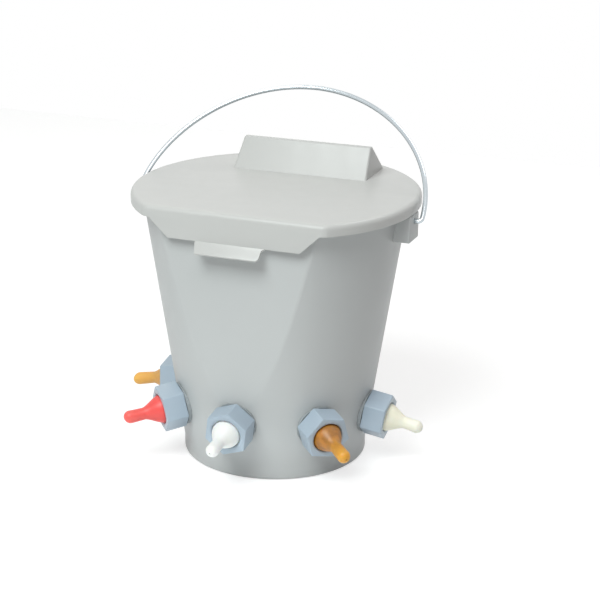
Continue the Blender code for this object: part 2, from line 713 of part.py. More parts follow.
def main():
    """Builds the whole bucket."""
    clear_scene()
    amber = material("teat_amber", (0.60, 0.30, 0.08), 0.35)
    red = material("teat_red", (0.90, 0.12, 0.12), 0.4)
    white = material("teat_white", (0.93, 0.93, 0.89), 0.4)
    cream = material("teat_cream", (0.92, 0.87, 0.68), 0.4)
    surfaces = {
        "valve": material("valve_grey", (0.45, 0.52, 0.58), 0.4),
        "nut": material("nut_blue_grey", (0.47, 0.57, 0.65), 0.35),
        "seal": material("seal_black", (0.03, 0.03, 0.03), 0.7),
        "ball": material("ball_white", (0.85, 0.85, 0.82), 0.3),
        "teats": (amber, red, white, amber, cream),
    }
    make_bucket(material("bucket_grey", (0.58, 0.61, 0.61), 0.45))
    make_lid(material("lid_grey", (0.66, 0.67, 0.66), 0.45))
    make_bail(material("zinc_wire", (0.62, 0.64, 0.66), 0.3, 1.0))
    outside = as_guide(outer_form("wall_outer_guide", GAP))
    inside = as_guide(inner_form("wall_inner_guide", GAP))
    for index in range(len(STATION_BEARINGS)):
        make_station(index, surfaces, outside, inside)


main()
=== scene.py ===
"""Looks of the feeding bucket: finished meshes, materials, studio and camera.

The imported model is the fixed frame. Metres, +Z up, the flat side faces -Y.
"""

import json
import math
from contextlib import contextmanager

import bmesh
import bpy
from mathutils import Matrix, Vector


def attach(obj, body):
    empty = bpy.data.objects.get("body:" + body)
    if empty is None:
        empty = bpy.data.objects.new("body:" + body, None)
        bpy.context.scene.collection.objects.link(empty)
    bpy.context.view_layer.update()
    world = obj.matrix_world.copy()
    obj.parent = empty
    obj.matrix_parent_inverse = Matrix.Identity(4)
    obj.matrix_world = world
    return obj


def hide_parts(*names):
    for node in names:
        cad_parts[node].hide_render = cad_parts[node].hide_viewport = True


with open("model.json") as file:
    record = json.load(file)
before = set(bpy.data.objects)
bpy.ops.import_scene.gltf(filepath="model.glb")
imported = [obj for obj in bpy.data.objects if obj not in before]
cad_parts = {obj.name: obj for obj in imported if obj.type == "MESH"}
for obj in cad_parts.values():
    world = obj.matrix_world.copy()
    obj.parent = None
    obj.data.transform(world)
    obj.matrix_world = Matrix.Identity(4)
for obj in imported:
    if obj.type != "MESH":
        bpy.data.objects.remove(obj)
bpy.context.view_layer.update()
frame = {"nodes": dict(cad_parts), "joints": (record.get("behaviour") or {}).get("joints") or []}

# Joints read from the frame
STATION_JOINTS = [j for j in frame["joints"] if j["name"].startswith("nut_unscrew")]
BAIL_JOINT = next(j for j in frame["joints"] if j["name"] == "bail_swing")

# Bucket
BUCKET_HEIGHT = 0.2838
WALL_BASE_RADIUS = 0.0946
WALL_TOP_RADIUS = 0.1382
WALL_THICKNESS = 0.0024
WALL_SLOPE = (WALL_TOP_RADIUS - WALL_BASE_RADIUS) / BUCKET_HEIGHT
WALL_ACROSS = WALL_THICKNESS / math.cos(math.atan(WALL_SLOPE))
FLOOR_THICKNESS = 0.003
FLOOR_ROUND = 0.005
FOOT_STEP = 0.0024
FOOT_ROUND = 0.004
FOOT_BLEND = 0.0012
FOOT_KNEE = FOOT_BLEND / 12
FRONT_FLAT = 0.107
CREASE_ROUND = 0.0024
BASE_RECESS = 0.0008
BASE_RING = 0.010
RIM_DEPTH = 0.0086
RIM_WALL = 0.002
RIM_LIP = 0.0024
RIM_RADIUS = 0.1468
RIM_FLAT = 0.112
RIM_CORNER = 0.0088
RIM_ROUND = 0.0007

# Lid
LID_RADIUS = 0.150
LID_FLAT = 0.1152
LID_CORNER = 0.012
LID_TOP = 0.2871
LID_UNDER = 0.2841
LID_WALL = 0.0025
LID_SKIRT_Z = 0.2752
LID_EDGE_ROUND = 0.0055
LID_FOOT_ROUND = 0.0005
PLUG_RADIUS = 0.1326
PLUG_FLAT = 0.1034
PLUG_CORNER = 0.010
PLUG_WALL = 0.002
PLUG_DEPTH = 0.0065

# Apron and tab
APRON_HALF_TOP = 0.091
APRON_HALF_BOTTOM = 0.0705
APRON_DROP = 0.0192
TAB_LEFT = -0.0408
TAB_RIGHT = 0.0307
TAB_REACH = 0.0097
TAB_DROP = 0.0099
TAB_FILLET = 0.0038
TAB_CORNER = 0.0042
TAB_TAPER = 0.0034

# Grip ridge
RIDGE_RIGHT = 0.077
RIDGE_LEFT = -0.072
RIDGE_LEFT_SLOPE = 0.0065
RIDGE_FRONT = 0.0555
RIDGE_BACK = 0.1165
RIDGE_APEX_Y = 0.0738
RIDGE_APEX_WIDTH = 0.005
RIDGE_APEX_LEAST = 0.0008
RIDGE_HEIGHT = 0.0325
RIDGE_TURN = math.radians(1.2)
RIDGE_ROUND = 0.0021

# Ears
EAR_REACH = 0.150
EAR_HALF_WIDTH = 0.0143
EAR_BOTTOM = 0.247
EAR_TOP = 0.2746
EAR_WALL = 0.003
EAR_ROUND = 0.0018
EAR_HOLE_PLAY = 0.0003
EAR_HOLE_FLARE = 0.0006

# Bail: a pinch is the power on the arch's width and height, and the head is (radius, length)
WIRE = 0.005
WIRE_RESOLUTION = 8
BAIL_HALF_WIDTH = 0.157
BAIL_HEIGHT = 0.148
BAIL_RIGHT_PINCH = (1.04, 1.04)
BAIL_LEFT_PINCH = (1.0, 1.085)
BAIL_LEAN = math.radians(46.4)
BAIL_BEND = 0.0036
BAIL_PIN_END = 0.1415
BAIL_HEAD = ((0.0016, -0.0004), (0.0033, 0.0), (0.0033, 0.0014), (0.0021, 0.002))
BAIL_POINTS = 132

# Stations: heights are from the outer wall, rolls are in degrees, droops are down and aside
NUT_ROLLS = (42.0, 43.5, 10.0, 41.5, 6.0)
NUT_ACROSS_FLATS = 0.043
NUT_BACK = 0.0018
NUT_FACE = 0.0253
NUT_LIP = 0.004
NUT_MOUTH = 0.0157
NUT_EDGE = 0.0011
THREAD_RADIUS = 0.0179
BORE_RADIUS = 0.0182
BORE_REACH = 0.02
TEAT_BULB = 0.0146
TEAT_BULB_LENGTH = 0.018
TEAT_ROUNDNESS = 0.45
TEAT_NECK = 0.0063
TEAT_TIP = 0.0068
TEAT_LENGTH = 0.04
TEAT_LENGTHS = (0.0417, 0.0397, 0.0378, 0.042, 0.0378)
TEAT_WALL = 0.0021
TEAT_TIP_WALL = 2.2 * TEAT_WALL
TEAT_HOLE = 0.0008
TEAT_FLANGE_BACK = 0.018
TEAT_FLANGE_TOP = 0.021
TEAT_DROOPS = ((0.001, 0.005), (-0.0015, 0.0), (0.0, 0.0), (0.001, 0.0), (0.0015, 0.0))

# Meshes: facets, segments and steps, then the lengths, shares and angles of the tools
FACETS = 192
STATION_FACETS = 64
TEAT_FACETS = 56
WIRE_FACETS = 48
CORNER_SEGMENTS = 8
LID_SEGMENTS = 7
RIDGE_SEGMENTS = 5
EDGE_SEGMENTS = 4
SOFT_SEGMENTS = 3
ROUND_STEPS = 6
BEND_STEPS = 8
TAB_STEPS = 4
BULB_STEPS = 12
TIP_STEPS = 10
CORNER_SLACK = 0.0004
CORNER_REACH = 1.3
CUT = 0.001
CLOSE = 1e-5
FACING = 0.99
QUARTER = math.pi / 2
SHARP_ANGLE = math.radians(50.0)
SMOOTH_ANGLE = math.radians(32.0)
WIRE_SMOOTH = math.radians(45.0)
TEAT_SMOOTH = math.radians(50.0)

# Moulded plastics: colour, values of the moulded skin and strength of its bump
PLASTICS = {
    "bucket_plastic": (
        (0.52, 0.534, 0.533),
        {"Mottle": 0.04, "Scuff": 0.12, "Rough Low": 0.38, "Rough High": 0.52},
        0.12,
    ),
    "lid_plastic": (
        (0.56, 0.562, 0.548),
        {"Mottle": 0.04, "Scuff": 0.1, "Rough Low": 0.32, "Rough High": 0.44},
        0.1,
    ),
    "nut_plastic": (
        (0.40, 0.485, 0.57),
        {"Mottle": 0.05, "Mottle Scale": 40.0, "Scuff": 0.2, "Rough Low": 0.3, "Rough High": 0.42},
        0.08,
    ),
    "valve_plastic": ((0.37, 0.445, 0.505), {"Mottle Scale": 40.0}, 0.1),
    "ball_plastic": ((0.85, 0.85, 0.82), {"Rough Low": 0.2, "Rough High": 0.3}, 0.03),
    # The seal is real rubber, but its colour is painted shade: the wall's shaded tone, so the rim
    # that shows round each nut reads as contact shadow
    "seal_rubber": ((0.31, 0.34, 0.355), {"Scuff": 0.05, "Rough Low": 0.6}, 0.2),
}
SKIN_SHADE = (0.32, 0.33, 0.33, 1.0)
SKIN_SCUFF = (0.80, 0.81, 0.80, 1.0)
SCUFF_SCALE = 55.0
SKIN_DEPTH = 0.0002

# Spans that an effect reads, from none of it to all of it
FULL = (0.0, 1.0)
MOTTLE_SPAN = (0.3, 0.7)
SCUFF_SPAN = (0.64, 0.78)
GLOSS_SPAN = (0.3, 0.75)
PATCH_SPAN = (0.4, 0.6)
DULL_SPAN = (0.5, 0.75)
ZINC_GLOSS_SPAN = (0.35, 0.75)

# Teat rubbers: colour at the bulb and at the tip, light let in and strength of the patches
RUBBERS = {
    "teat_amber": ((0.50, 0.20, 0.025), (0.78, 0.38, 0.04), 0.3, 0.5),
    "teat_pale_amber": ((0.74, 0.38, 0.09), (0.95, 0.49, 0.10), 0.3, 0.15),
    "teat_red": ((0.92, 0.10, 0.09), (0.94, 0.14, 0.12), 0.2, 0.05),
    "teat_white": ((0.97, 0.965, 0.94), (0.97, 0.97, 0.955), 0.1, 0.02),
    "teat_cream": ((0.97, 0.93, 0.76), (0.97, 0.95, 0.82), 0.1, 0.03),
}
RUBBER_SKIN = {
    "Mottle": 0.02,
    "Mottle Scale": 60.0,
    "Scuff": 0.0,
    "Grain Scale": 1500.0,
    "Rough Low": 0.38,
    "Rough High": 0.5,
}
RUBBER_BUMP = 0.08
RUBBER_DEPTH = 0.0001
RUBBER_GLOW_RADIUS = (0.004, 0.002, 0.001)
PATCH_SCALE = 130.0
PATCH_SHADE = 0.45
PATCH_AT_TIP = 0.1
TIP_SPAN = (0.25, 0.95)
PATCH_FADE = (0.0, 0.7)

# Rubber and material slot of each teat
TEAT_FINISHES = (
    ("teat_pale_amber", "teat_amber"),
    ("teat_red", "teat_red"),
    ("teat_white", "teat_white"),
    ("teat_amber", "teat_amber"),
    ("teat_cream", "teat_cream"),
)

# Plated wire
ZINC_BRIGHT = (0.55, 0.60, 0.63, 1.0)
ZINC_DULL = (0.42, 0.46, 0.48, 1.0)
ZINC_DULL_MOST = 0.2
ZINC_ROUGHNESS = (0.15, 0.2)
ZINC_SPOTS = 140.0
ZINC_GRAIN = 400.0
ZINC_BUMP = 0.004
ZINC_DEPTH = 0.0001

# Camera, at the photograph's view
CAMERA_AZIMUTH = math.radians(21.0858)
CAMERA_ELEVATION = math.radians(18.8092)
CAMERA_DISTANCE = 1.968026
CAMERA_LENS = 109.156
CAMERA_ASIDE = 0.0253289
CAMERA_RISE = 0.155154
CAMERA_ROLL = math.radians(0.567)
SENSOR_WIDTH = 36.0

# Studio
WHITE = (1.0, 1.0, 1.0, 1.0)
WORLD_LIGHT = 0.12
FLOOR_GLOW = 0.4
FLOOR_STRENGTH = 1.58
FLOOR_SIZE = 2.6
FLOOR_DROP = 0.0002
FLOOR_COLOUR = (0.9, 0.9, 0.9, 1.0)
FLOOR_ROUGHNESS = 0.9
MIDDLE = (0, 0, 0.15)

# Lamps: name, place, target, size, power and colour
LAMPS = (
    ("key", (-0.335, -1.899, 2.448), MIDDLE, 1.4, 65.5, (0.94, 1.0, 0.99)),
    ("overhead", (0.86, -1.229, 2.748), MIDDLE, 1.4, 14.0, (1.0, 0.93, 0.93)),
    ("back_right", (0.86, 1.49, 2.607), MIDDLE, 1.4, 19.0, (1.0, 1.0, 1.0)),
    ("back_left", (-1.477, 1.24, 2.448), MIDDLE, 1.4, 8.5, (1.0, 0.98, 0.9)),
    ("floor_card", (-0.1, -0.37, 0.002), (-0.1, -0.37, 1.0), 0.5, 0.3, (0.9, 1.0, 1.0)),
)


def deselect_all():
    """Leaves nothing selected."""
    bpy.ops.object.select_all(action="DESELECT")


def select_only(piece):
    """Leaves one piece selected and active."""
    deselect_all()
    piece.select_set(True)
    bpy.context.view_layer.objects.active = piece


def name_new(name):
    """Names the primitive that was just added and puts its place in its mesh."""
    piece = bpy.context.object
    piece.name = name
    piece.data.name = name
    bpy.ops.object.transform_apply(location=True, rotation=True, scale=True)
    return piece


@contextmanager
def editing(piece):
    """Edit mode on one piece."""
    select_only(piece)
    bpy.ops.object.mode_set(mode="EDIT")
    yield
    bpy.ops.object.mode_set(mode="OBJECT")


def pick(kind, test):
    """Selects the vertices, edges or faces that pass a test, in edit mode."""
    bpy.ops.mesh.select_mode(type=kind)
    bpy.ops.mesh.select_all(action="DESELECT")
    mesh = bpy.context.edit_object.data
    bm = bmesh.from_edit_mesh(mesh)
    items = {"VERT": bm.verts, "EDGE": bm.edges, "FACE": bm.faces}[kind]
    for item in items:
        if test(item):
            item.select_set(True)
    bm.select_flush_mode()
    bmesh.update_edit_mesh(mesh)


def near(value, target, slack=CLOSE):
    """True if two lengths agree."""
    return abs(value - target) < slack


def at_height(edge, z):
    """True if an edge lies level at a height."""
    return all(near(v.co.z, z) for v in edge.verts)


def turned(name, profile, facets, closed=False):
    """A ring extruded and resized along a profile of (radius, height) points.

    A closed profile is bridged back to its start, and an open one is filled at its ends.
    """
    deselect_all()
    radius, z = profile[0]
    bpy.ops.mesh.primitive_circle_add(vertices=facets, radius=radius, location=(0, 0, z))
    piece = name_new(name)
    with editing(piece):
        bpy.ops.mesh.select_mode(type="EDGE")
        bpy.ops.mesh.select_all(action="SELECT")
        for (r0, z0), (r1, z1) in zip(profile, profile[1:]):
            step = {"value": (0, 0, z1 - z0)}
            bpy.ops.mesh.extrude_region_move(TRANSFORM_OT_translate=step)
            scale = r1 / r0
            bpy.ops.transform.resize(value=(scale, scale, 1), center_override=(0, 0, z1))
        bpy.ops.mesh.select_all(action="DESELECT")
        bpy.ops.mesh.select_non_manifold()
        if closed:
            bpy.ops.mesh.bridge_edge_loops()
        else:
            bpy.ops.mesh.select_all(action="SELECT")
            bpy.ops.mesh.fill_holes(sides=0)
        bpy.ops.mesh.select_all(action="SELECT")
        bpy.ops.mesh.normals_make_consistent(inside=False)
    return piece


def arc(centre, radius, start, end, steps):
    """Points along an arc in a plane, both ends included."""
    angles = [start + (end - start) * i / steps for i in range(steps + 1)]
    return [(centre[0] + radius * math.cos(a), centre[1] + radius * math.sin(a)) for a in angles]


def cut_flat(piece, flat):
    """Cuts a piece off at the flat front side."""
    with editing(piece):
        bpy.ops.mesh.select_all(action="SELECT")
        bpy.ops.mesh.bisect(
            plane_co=(0, -flat, 0), plane_no=(0, -1, 0), use_fill=True, clear_outer=True
        )


def flat_disc(name, radius, flat, corner, low, high):
    """A disc with one flat side and rounded corners."""
    deselect_all()
    middle = (0, 0, (low + high) / 2)
    bpy.ops.mesh.primitive_cylinder_add(
        vertices=FACETS, radius=radius, depth=high - low, location=middle
    )
    piece = name_new(name)
    cut_flat(piece, flat)
    half = math.sqrt(radius ** 2 - flat ** 2)
    tangent = corner * math.tan(math.acos(flat / radius) / 2)

    def from_corner(edge):
        """How far a standing edge is from the nearer corner, in plan; far for the others."""
        a, b = (v.co for v in edge.verts)
        if (a - b).xy.length > CLOSE:
            return math.inf
        return math.hypot(abs(a.x) - half, a.y + flat)

    with editing(piece):
        reach = CORNER_REACH * tangent
        pick("EDGE", lambda e: CORNER_SLACK < from_corner(e) < reach)
        bpy.ops.mesh.dissolve_edges(use_verts=True)
        pick("EDGE", lambda e: from_corner(e) < CORNER_SLACK)
        bpy.ops.mesh.bevel(
            offset=tangent, offset_type="OFFSET", segments=CORNER_SEGMENTS, clamp_overlap=False
        )
        bpy.ops.mesh.select_all(action="SELECT")
        bpy.ops.mesh.normals_make_consistent(inside=False)
    return piece


def apply_all(piece):
    """Applies every modifier on a piece."""
    select_only(piece)
    for modifier in list(piece.modifiers):
        bpy.ops.object.modifier_apply(modifier=modifier.name)


def combine(piece, other, operation):
    """Exact Boolean of two pieces; the second one is used up."""
    modifier = piece.modifiers.new("combine", "BOOLEAN")
    modifier.operation = operation
    modifier.solver = "EXACT"
    modifier.object = other
    apply_all(piece)
    bpy.data.objects.remove(other, do_unlink=True)


def soften(piece, width):
    """Rounds the sharp edges of a piece."""
    modifier = piece.modifiers.new("soften", "BEVEL")
    modifier.width = width
    modifier.segments = SOFT_SEGMENTS
    modifier.limit_method = "ANGLE"
    modifier.angle_limit = SHARP_ANGLE
    apply_all(piece)


def shade(piece, angle=SMOOTH_ANGLE):
    """Shades a piece smooth, with its hard edges kept."""
    select_only(piece)
    bpy.ops.object.shade_smooth_by_angle(angle=angle)


def block(name, low, high, rounding=0.0):
    """A box between two corners, its edges rounded where asked."""
    deselect_all()
    low = Vector(low)
    high = Vector(high)
    bpy.ops.mesh.primitive_cube_add(size=1, location=(low + high) / 2, scale=high - low)
    piece = name_new(name)
    if rounding:
        with editing(piece):
            bpy.ops.mesh.select_all(action="SELECT")
            bpy.ops.mesh.bevel(offset=rounding, segments=EDGE_SEGMENTS)
    return piece


def place(piece, matrix):
    """Moves a piece and puts its place in its mesh."""
    select_only(piece)
    piece.matrix_world = matrix
    bpy.ops.object.transform_apply(location=True, rotation=True, scale=True)


def finish_piece(piece, surface, body, slot, *nodes):
    """Gives a piece its material and its body, and hides the nodes that it stands for. The slot is
    not used.
    """
    piece.data.materials.clear()
    piece.data.materials.append(surface)
    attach(piece, body)
    if nodes:
        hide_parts(*nodes)


def wall_radius(z):
    """Outer radius of the tapered wall at a height."""
    return WALL_BASE_RADIUS + (WALL_TOP_RADIUS - WALL_BASE_RADIUS) * z / BUCKET_HEIGHT


def outer_wall():
    """The bucket's outer form, its flat side meeting the round wall in a soft crease."""
    foot = WALL_BASE_RADIUS + FOOT_STEP
    foot_top = FOOT_STEP / WALL_SLOPE
    profile = arc((foot - FOOT_ROUND, FOOT_ROUND), FOOT_ROUND, -QUARTER, 0.0, ROUND_STEPS)
    profile += [(foot, foot_top - FOOT_BLEND), (foot + FOOT_KNEE, foot_top)]
    after = foot_top + FOOT_BLEND
    profile += [(wall_radius(after), after), (WALL_TOP_RADIUS, BUCKET_HEIGHT)]
    wall = turned("bucket_body", profile, FACETS)
    cut_flat(wall, FRONT_FLAT)

    def on_crease(edge):
        """True for the edges where the flat side meets the round wall."""
        on_flat = all(near(v.co.y, -FRONT_FLAT) for v in edge.verts)
        return on_flat and not at_height(edge, BUCKET_HEIGHT)

    with editing(wall):
        pick("EDGE", on_crease)
        bpy.ops.mesh.bevel(offset=CREASE_ROUND, segments=EDGE_SEGMENTS, clamp_overlap=False)
        pick("FACE", lambda f: f.normal.z < -FACING and f.calc_center_median().z < CLOSE)
        bpy.ops.mesh.inset(thickness=BASE_RING, depth=0.0)
        bpy.ops.mesh.inset(thickness=BASE_RECESS, depth=-BASE_RECESS)
    return wall


def inner_wall():
    """The bucket's hollow."""
    low = wall_radius(FLOOR_THICKNESS) - WALL_ACROSS
    above = BUCKET_HEIGHT + CUT
    centre = (low - FLOOR_ROUND, FLOOR_THICKNESS + FLOOR_ROUND)
    profile = arc(centre, FLOOR_ROUND, -QUARTER, 0.0, ROUND_STEPS)
    profile.append((wall_radius(above) - WALL_ACROSS, above))
    hollow = turned("hollow", profile, FACETS)
    cut_flat(hollow, FRONT_FLAT - WALL_THICKNESS)
    return hollow


def rim():
    """The bucket's turned-down rim."""
    low = BUCKET_HEIGHT - RIM_DEPTH
    made = flat_disc("rim", RIM_RADIUS, RIM_FLAT, RIM_CORNER, low, BUCKET_HEIGHT)
    soften(made, RIM_ROUND)
    inside = (RIM_RADIUS - RIM_WALL, RIM_FLAT - RIM_WALL, RIM_CORNER - RIM_WALL)
    channel = flat_disc("rim_channel", *inside, low - CUT, BUCKET_HEIGHT - RIM_LIP)
    combine(made, channel, "DIFFERENCE")
    return made


def ear(side):
    """One ear as a rounded solid with the web that joins it to the rim."""
    root = wall_radius(EAR_BOTTOM) - 2 * WALL_THICKNESS
    made = block(
        "ear",
        (root, -EAR_HALF_WIDTH, EAR_BOTTOM),
        (EAR_REACH, EAR_HALF_WIDTH, EAR_TOP),
        EAR_ROUND,
    )
    half = EAR_HALF_WIDTH - EAR_WALL
    web = block(
        "ear_web",
        (root, -half, EAR_TOP - EAR_WALL),
        (RIM_RADIUS - RIM_WALL / 2, half, BUCKET_HEIGHT - RIM_LIP / 2),
    )
    combine(made, web, "UNION")
    if side < 0:
        place(made, Matrix.Rotation(math.pi, 4, "Z"))
    return made


def ear_cuts(side):
    """The hollow of one ear, open below, and the countersunk hole for the wire."""
    roof = EAR_TOP - EAR_WALL / 2
    half = EAR_HALF_WIDTH - EAR_WALL
    inner = wall_radius(roof) + WALL_THICKNESS / 2
    low = (inner, -half, EAR_BOTTOM - CUT)
    hollow = block("ear_hollow", low, (EAR_REACH - EAR_WALL, half, roof))
    radius = WIRE / 2 + EAR_HOLE_PLAY
    flare = EAR_HOLE_FLARE
    face = EAR_WALL / 2
    ends = [(radius, -EAR_WALL), (radius, face - flare), (radius + 2 * flare, face + flare)]
    hole = turned("ear_hole", ends, WIRE_FACETS)
    at = Matrix.Translation((EAR_REACH - face, 0, BAIL_JOINT["pos_m"][2]))
    place(hole, at @ Matrix.Rotation(QUARTER, 4, "Y"))
    if side < 0:
        for cut in (hollow, hole):
            place(cut, Matrix.Rotation(math.pi, 4, "Z"))
    return hollow, hole


def station_frame(joint):
    """A station's frame: origin on the outer wall, +Z outward, +X down the wall."""
    out = Vector(joint["axis"]).normalized()
    down = Vector((0, 0, -1))
    x = (down - out * out.dot(down)).normalized()
    y = out.cross(x)
    turn = Matrix((x, y, out)).transposed().to_4x4()
    return Matrix.Translation(joint["pos_m"]) @ turn


def make_bucket(surface):
    """The bucket with its rim, ears and bores."""
    bucket = outer_wall()
    combine(bucket, rim(), "UNION")
    for side in (1, -1):
        combine(bucket, ear(side), "UNION")
    combine(bucket, inner_wall(), "DIFFERENCE")
    for side in (1, -1):
        for cut in ear_cuts(side):
            combine(bucket, cut, "DIFFERENCE")
    for joint in STATION_JOINTS:
        ends = [(BORE_RADIUS, -BORE_REACH), (BORE_RADIUS, BORE_REACH)]
        bore = turned("bore", ends, STATION_FACETS)
        place(bore, station_frame(joint))
        combine(bucket, bore, "DIFFERENCE")
    shade(bucket)
    finish_piece(bucket, surface, "bucket", "bucket_plastic", "bucket")


def fit_span(axis, old, new):
    """Stretches what is selected along one axis, from one span to another."""
    share = (new[1] - new[0]) / (old[1] - old[0])
    if near(share, 1.0):
        shift = [0.0, 0.0, 0.0]
        shift[axis] = new[0] - old[0]
        bpy.ops.transform.translate(value=shift)
        return
    scale = [1.0, 1.0, 1.0]
    scale[axis] = share
    centre = [0.0, 0.0, 0.0]
    centre[axis] = (new[0] - share * old[0]) / (1 - share)
    bpy.ops.transform.resize(value=scale, center_override=centre)


def tab_edge(length):
    """The tab's right edge as (place, way down): a fillet above and a rounded corner below."""
    turns = [QUARTER * i / TAB_STEPS for i in range(TAB_STEPS + 1)]
    fillet = [
        (TAB_RIGHT + TAB_FILLET - TAB_FILLET * math.sin(a), TAB_FILLET * (1 - math.cos(a)))
        for a in turns[1:]
    ]
    corner = [
        (TAB_RIGHT - TAB_CORNER * (1 - math.cos(a)), length - TAB_CORNER * (1 - math.sin(a)))
        for a in turns
    ]
    return fillet + corner


def add_apron(lid):
    """Draws the front apron and its tab down from the skirt's flat side."""
    low = LID_SKIRT_Z - APRON_DROP
    length = math.hypot(TAB_REACH, TAB_DROP)

    def front_edge(edge, z, left, right):
        """True for the front edge at a height between two places."""
        middle = sum(v.co.x for v in edge.verts) / 2
        on_front = all(near(v.co.y, -LID_FLAT) for v in edge.verts)
        return on_front and at_height(edge, z) and left < middle < right

    def front_face(face, z):
        """True for the flat front face that reaches down to a height."""
        lowest = min(v.co.z for v in face.verts)
        return face.normal.y < -FACING and near(lowest, z)

    with editing(lid):
        for x in (-APRON_HALF_TOP, APRON_HALF_TOP):
            pick("FACE", lambda f: front_face(f, LID_SKIRT_Z))
            bpy.ops.mesh.bisect(plane_co=(x, 0, 0), plane_no=(1, 0, 0))
        pick("EDGE", lambda e: front_edge(e, LID_SKIRT_Z, -APRON_HALF_TOP, APRON_HALF_TOP))
        bpy.ops.mesh.extrude_region_move(TRANSFORM_OT_translate={"value": (0, 0, -APRON_DROP)})
        narrow = APRON_HALF_BOTTOM / APRON_HALF_TOP
        bpy.ops.transform.resize(value=(narrow, 1, 1), center_override=(0, -LID_FLAT, low))
        ends = (TAB_LEFT, TAB_RIGHT + TAB_FILLET)
        for x in ends:
            pick("FACE", lambda f: front_face(f, low))
            bpy.ops.mesh.bisect(plane_co=(x, 0, 0), plane_no=(1, 0, 0))
        pick("EDGE", lambda e: front_edge(e, low, *ends))
        done = 0.0
        for right, down in tab_edge(length):
            share = (down - done) / length
            move = {"value": (0, -TAB_REACH * share, -TAB_DROP * share)}
            bpy.ops.mesh.extrude_region_move(TRANSFORM_OT_translate=move)
            next_ends = (TAB_LEFT + TAB_TAPER * down / length, right)
            fit_span(0, ends, next_ends)
            ends = next_ends
            done = down


def ridge(name, inset, floor, rounding):
    """The grip ridge as a solid: a steep front, a long back and one sloped end."""
    front = RIDGE_FRONT + inset
    back = RIDGE_BACK - inset
    right = RIDGE_RIGHT - inset
    left = RIDGE_LEFT + inset
    top = LID_TOP + RIDGE_HEIGHT - inset
    half = max((RIDGE_APEX_WIDTH - inset) / 2, RIDGE_APEX_LEAST)
    spread = (top - floor) / (top - LID_TOP)
    near_y = RIDGE_APEX_Y - half
    far_y = RIDGE_APEX_Y + half
    apex_left = left + RIDGE_LEFT_SLOPE
    low_left = apex_left - RIDGE_LEFT_SLOPE * spread
    low_front = near_y - (near_y - front) * spread
    low_back = far_y + (back - far_y) * spread
    made = block(name, (low_left, low_front, floor), (right, low_back, top))
    with editing(made):
        pick("FACE", lambda f: f.normal.z > FACING)
        fit_span(0, (low_left, right), (apex_left, right))
        fit_span(1, (low_front, low_back), (near_y, far_y))
    if rounding:
        with editing(made):
            pick("EDGE", lambda e: not at_height(e, floor))
            bpy.ops.mesh.bevel(offset=rounding, segments=RIDGE_SEGMENTS)
    centre = Vector(((RIDGE_RIGHT + RIDGE_LEFT) / 2, (RIDGE_FRONT + RIDGE_BACK) / 2, 0))
    about = Matrix.Translation(centre) @ Matrix.Rotation(RIDGE_TURN, 4, "Z")
    place(made, about @ Matrix.Translation(-centre))
    return made


def make_lid(surface):
    """The lid: rounded plate and skirt, apron, tab, ridge and plug ring."""
    lid = flat_disc("lid_cover", LID_RADIUS, LID_FLAT, LID_CORNER, LID_SKIRT_Z, LID_TOP)
    with editing(lid):
        pick("FACE", lambda f: f.normal.z < -FACING)
        bpy.ops.mesh.delete(type="FACE")
        pick("EDGE", lambda e: at_height(e, LID_TOP))
        bpy.ops.mesh.bevel(offset=LID_EDGE_ROUND, segments=LID_SEGMENTS)
    add_apron(lid)
    shell = lid.modifiers.new("wall", "SOLIDIFY")
    shell.thickness = LID_WALL
    shell.offset = -1
    shell.use_even_offset = True
    apply_all(lid)
    soften(lid, LID_FOOT_ROUND)
    combine(lid, ridge("ridge", 0.0, LID_TOP - LID_WALL / 2, RIDGE_ROUND), "UNION")
    plug = (PLUG_RADIUS, PLUG_FLAT, PLUG_CORNER)
    hollow = (size - PLUG_WALL for size in plug)
    low = LID_UNDER - PLUG_DEPTH
    ring = flat_disc("plug", *plug, low, LID_TOP - LID_WALL / 2)
    bore = flat_disc("plug_bore", *hollow, low - CUT, LID_TOP)
    combine(ring, bore, "DIFFERENCE")
    combine(lid, ring, "UNION")
    combine(lid, ridge("ridge_hollow", LID_WALL, LID_UNDER - CUT, 0.0), "DIFFERENCE")
    shade(lid)
    finish_piece(lid, surface, "lid", "lid_plastic", "lid")


def bail_route():
    """Centreline of the bail in its own plane, from the right end to the left end."""
    arch = []
    for i in range(BAIL_POINTS + 1):
        angle = math.pi * i / BAIL_POINTS
        across = math.cos(angle)
        wide, high = BAIL_RIGHT_PINCH if across > 0 else BAIL_LEFT_PINCH
        across = math.copysign(abs(across) ** wide, across)
        rise = BAIL_BEND + (BAIL_HEIGHT - BAIL_BEND) * math.sin(angle) ** high
        arch.append((BAIL_HALF_WIDTH * across, rise))
    bend = arc((BAIL_HALF_WIDTH - BAIL_BEND, BAIL_BEND), BAIL_BEND, -QUARTER, 0.0, BEND_STEPS)
    right = [(BAIL_PIN_END, 0.0)] + bend[:-1]
    left = [(-x, z) for x, z in reversed(right)]
    return [(x, 0.0, z) for x, z in right + arch + left]


